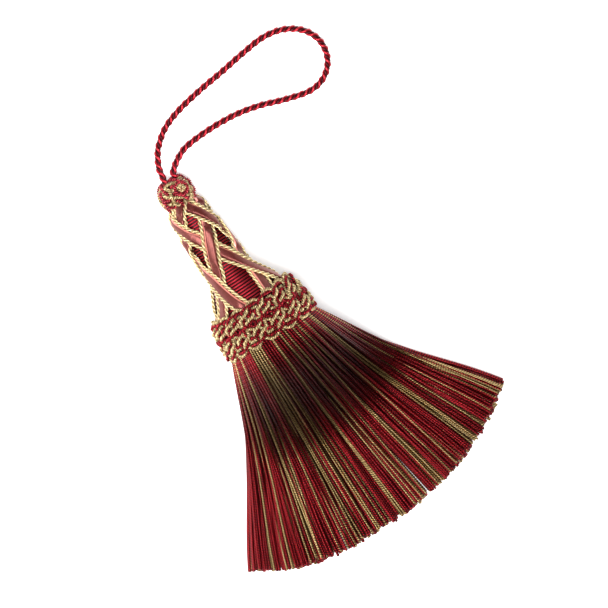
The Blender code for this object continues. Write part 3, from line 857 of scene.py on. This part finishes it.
class TASSEL_OT_knot(bpy.types.Operator):
    """Tie the knot at the top of the head from the same two cords"""

    bl_idname = "tassel.knot"
    bl_label = "Knot"

    TWIST = -3
    SUB_LEAD = 1.7
    SPACING = 0.25
    EYE_STATION, EYE_TURN, EYE_HEIGHT = -0.9, 0.4, 7.5
    EYE_GOLD, EYE_CRIMSON = (0.5, 1.6, 0.3, 1.5), (2.0, 1.15, 2.4, 2.9)
    EYE_STEPS, FILLING_STEPS = 90, 24
    FILLING = ((-5.2, 1.0), (-4.6, 2.6), (-3.0, 4.2), (0.0, 5.0), (3.0, 4.6), (4.8, 3.4), (5.4, 2.0))

    def execute(self, context):
        s, finish = settings(), finishes()
        gold, crimson, filling = Yarns(), Yarns(), Yarns()
        ply = s.knot_cord_thickness / MM
        cords = ((ply, (crimson, gold)), (-ply, (crimson, gold)))
        braid(knot_line, KNOT_WAVES, KNOT_LAPS, self.SPACING, cords, self.TWIST, ply, self.SUB_LEAD)
        self.eye(gold, ply, self.EYE_GOLD)
        self.eye(crimson, ply, self.EYE_CRIMSON)
        turns = TAU * np.arange(self.FILLING_STEPS) / self.FILLING_STEPS
        # The filling takes little painted light, so it shows as painted shade in the gaps between the cords.
        filling.add(np.stack([head_point(np.full(len(turns), station), np.full(len(turns), radius), turns)
                              for station, radius in self.FILLING]), relief=0.2)
        place(gold.make("knot_gold_ply", finish["gold"]), "gimp_cord", "knot")
        place(crimson.make("knot_crimson_ply", finish["coral"]), "gimp_cord")
        place(filling.make("knot_filling", finish["crimson"]), "gimp_cord")
        return {"FINISHED"}

    def eye(self, gatherer, ply, coil):
        """Coil a ply on the knot's upper side. Coil holds start angle, turns, and first and last radius."""
        start, rounds, first, last = coil
        share = np.linspace(0.0, 1.0, self.EYE_STEPS)
        angle, radius = start + TAU * rounds * share, first + (last - first) * share
        turn = np.full(len(share), self.EYE_TURN)
        out = outwards(turn)
        sideways = unit(np.cross(out, AXIS))
        height = self.EYE_HEIGHT - radius ** 2 / (2 * KNOT_ROUND)
        points = head_point(np.full(len(share), self.EYE_STATION), height, turn)
        points = points + AXIS * column(radius * np.cos(angle)) + sideways * column(radius * np.sin(angle))
        line, (out,) = spaced(points, self.SPACING, (out,))
        # The eye's second yarn is darker, painted shade for the ribs' own shadow.
        laid_cord(gatherer, line, out, ply, self.SUB_LEAD, sides=5, tints=(0.55, 0.0))


def drop_share(t, turn):
    """How much of its height a strand has lost: level at the ruff, steep, then nearly level."""
    t = np.maximum(0.0, t)
    height = 1.0 + min(0.0, math.cos(turn))
    late = LATE_DROP * height
    x = np.minimum(1.0, t / (DROP_END_BELOW + (DROP_END - DROP_END_BELOW) * height))
    return (1 - late) * x * x * (3 - 2 * x) + late * t


class TASSEL_OT_skirt(bpy.types.Operator):
    """Hang the skirt's two-ply strands from their rings behind the ruff"""

    bl_idname = "tassel.skirt"
    bl_label = "Skirt"

    STRANDS = 102
    ROOT_RADII = ((14.2, 13.2), (14.8, 13.8), (15.4, 14.4), (17.6, 16.4))
    # Distance between stations in each storey: only the upper two have their twist as shape.
    STATIONS, SIDES = (1.8, 1.8, 0.55, 0.44), 4
    PLY_BULGE = 1.15
    LINE_STEPS = 60
    CRIMSON_RUN, GOLD_RUNS, GOLD_THINNER = (1, 6), (1, 1, 1, 2, 3), 0.85
    # The skirt's tone takes painted shade where a strand falls steeply: how much, less at the sides, and its
    # share of the length.
    PILE_SHADE, SIDE_SHADE, SHADE_END = (0.85, 1.15), 0.45, (0.6, 0.9)
    THICKER = (1.35, 1.3, 1.1, 1.0)
    TINTS, GOLD_DARKER = (0.25, 0.85), 0.15
    # Some strands stray from their bearing and lie higher, but none near the fan's sides.
    STRAY_SHARE, STRAY_ANGLE, STRAY_LIFT, STRAY_WITHIN = 0.22, 0.04, 0.5, 0.9
    # The tips' line: share of the radius, and waves in half a fan.
    UNEVEN = ((0.005, 17.0), (0.004, 41.0))
    TIP_CHANCE, BEARING_CHANCE = 0.005, 0.006
    SWAY, SWAY_WAVES, PILE_CHANCE = 0.5, (0.4, 1.2), 0.35
    SEED = 11

    def execute(self, context):
        s, finish = settings(), finishes()
        chance = np.random.default_rng(self.SEED)
        first = True
        for storey, spacing in enumerate(self.STATIONS):
            gatherers = {"crimson": Yarns(), "gold": Yarns()}
            thick = s.strand_thickness / MM * self.THICKER[storey]
            for index, colour in enumerate(self.colours(chance)):
                line = self.strand_line(storey, index, chance, thick)
                line, _ = spaced(line, spacing)
                fall = np.clip(np.linspace(0.0, 1.0, len(line)) / chance.uniform(*self.SHADE_END), 0.0, 1.0)
                side = abs(index / self.STRANDS * 2 - 1)
                shade = chance.uniform(*self.PILE_SHADE) * (1.0 - self.SIDE_SHADE * side ** 2)
                across, up = line_frame(line, np.tile(UP, (len(line), 1)))
                tint = chance.uniform(*self.TINTS) - self.GOLD_DARKER * (colour == "gold")
                # Painted shade: the strand's tone darkens along its steep middle, where it falls away from
                # the light.
                tint = tint - shade * np.sin(math.pi * fall) ** 2
                half = thick / 2 * (self.GOLD_THINNER if colour == "gold" else 1.0)
                if storey >= 2:
                    rings = twisted_rings(line, across, up, half * self.PLY_BULGE, self.SIDES, STRAND_LEAD)
                else:
                    rings = tube_rings(line, across, up, half, half, self.SIDES)
                gatherers[colour].add(rings, tint=tint)
            for colour, yarns in gatherers.items():
                piece = yarns.make(f"skirt_storey{storey + 1}_{colour}", finish[colour + "_strand"])
                place(piece, "silk_strands", *(("skirt",) if first else ()))
                first = False
        return {"FINISHED"}

    def colours(self, chance):
        """Runs of crimson strands with one to three gold ones between them."""
        made = []
        while len(made) < self.STRANDS:
            made += ["crimson"] * chance.integers(*self.CRIMSON_RUN)
            made += ["gold"] * chance.choice(self.GOLD_RUNS)
        return made[:self.STRANDS]

    def strand_line(self, storey, index, chance, thick):
        """The middle line of one strand, from its root inside the ruff to its tip on the fan's arc."""
        share = (index + 0.25 + 0.5 * (storey % 2)) / self.STRANDS * 2 - 1
        upper = storey >= 2
        turn = share * math.pi / 2 if upper else math.copysign(math.pi, share) - share * math.pi / 2
        radius = self.ROOT_RADII[storey][index % 2]
        root = head_point(ROOT_STATION, radius, turn)
        near = head_point(SLEEVE_END, radius + SLEEVE_FLARE, turn)
        uneven = sum(size * math.sin(waves * share + k * storey)
                     for k, (size, waves) in enumerate(self.UNEVEN, 1))
        left = min(1.0, max(0.0, -share - LEFT_REACH_START) / LEFT_REACH_SPAN)
        uneven += LEFT_REACH * left * left * (3 - 2 * left)
        tip = chance.uniform(-self.TIP_CHANCE, self.TIP_CHANCE)
        reach = FAN_RADIUS * (1.0 + uneven + tip - STOREY_SHORTENS * storey)
        bearing = FAN_MIDDLE + FAN_HALF * share * (1.0 - STOREY_NARROWS * storey)
        bearing += chance.uniform(-self.BEARING_CHANCE, self.BEARING_CHANCE)
        bearing -= LEFT_SPREAD * max(0.0, -share) ** 3
        stray = chance.random() < self.STRAY_SHARE and abs(share) < self.STRAY_WITHIN
        bearing += chance.uniform(-1.0, 1.0) * self.STRAY_ANGLE * stray
        far = np.array((FAN_CENTRE[0] + reach * math.sin(bearing), FAN_CENTRE[1] - reach * math.cos(bearing),
                        STACK_STEP * storey + thick / 2 + self.STRAY_LIFT * stray))
        t = np.linspace(0.0, 1.0, self.LINE_STEPS)
        edge = head_point(SLEEVE_END, 0.0, 0.0)[1]
        y = near[1] + (far[1] - near[1]) * t
        drop = drop_share((edge - y) / (edge - far[1]), turn)
        sway = chance.uniform(-self.SWAY, self.SWAY) * np.sin(math.pi * t)
        sway = sway * np.sin(TAU * t * chance.uniform(*self.SWAY_WAVES))
        x = near[0] + (far[0] - near[0]) * (t - SIDE_BOW * np.sin(math.pi * t) ** 2) + sway
        z = near[2] + (far[2] - near[2]) * drop + chance.uniform(0.0, self.PILE_CHANCE) * np.sin(math.pi * t)
        fan = np.stack((x, y, np.maximum(z, thick / 2)), axis=1)
        return np.concatenate((root[None], fan))


class TASSEL_PT_panel(bpy.types.Panel):
    """Lists the tassel's pieces in the order in which they are made"""

    bl_idname = "TASSEL_PT_panel"
    bl_label = "Silk tassel"
    bl_space_type = "VIEW_3D"
    bl_region_type = "UI"
    bl_category = "Tassel"

    def draw(self, context):
        layout = self.layout
        for operator in OPERATORS:
            layout.operator(operator.bl_idname)
        for group in (context.scene.tassel_yarns, context.scene.tassel_stage):
            box = layout.box()
            for name in group.__annotations__:
                box.prop(group, name)


OPERATORS = (TASSEL_OT_stage, TASSEL_OT_hanging_loop, TASSEL_OT_wound_head, TASSEL_OT_trellis,
             TASSEL_OT_ruff, TASSEL_OT_knot, TASSEL_OT_skirt)
CLASSES = (TasselYarnSettings, TasselStageSettings) + OPERATORS + (TASSEL_PT_panel,)


def register():
    for item in CLASSES:
        bpy.utils.register_class(item)
    bpy.types.Scene.tassel_yarns = bpy.props.PointerProperty(type=TasselYarnSettings)
    bpy.types.Scene.tassel_stage = bpy.props.PointerProperty(type=TasselStageSettings)


def unregister():
    del bpy.types.Scene.tassel_stage
    del bpy.types.Scene.tassel_yarns
    for item in reversed(CLASSES):
        bpy.utils.unregister_class(item)


def main():
    register()
    bpy.ops.tassel.stage()
    bpy.ops.tassel.hanging_loop()
    bpy.ops.tassel.wound_head()
    bpy.ops.tassel.trellis()
    bpy.ops.tassel.ruff()
    bpy.ops.tassel.knot()
    bpy.ops.tassel.skirt()


if __name__ == "__main__":
    main()
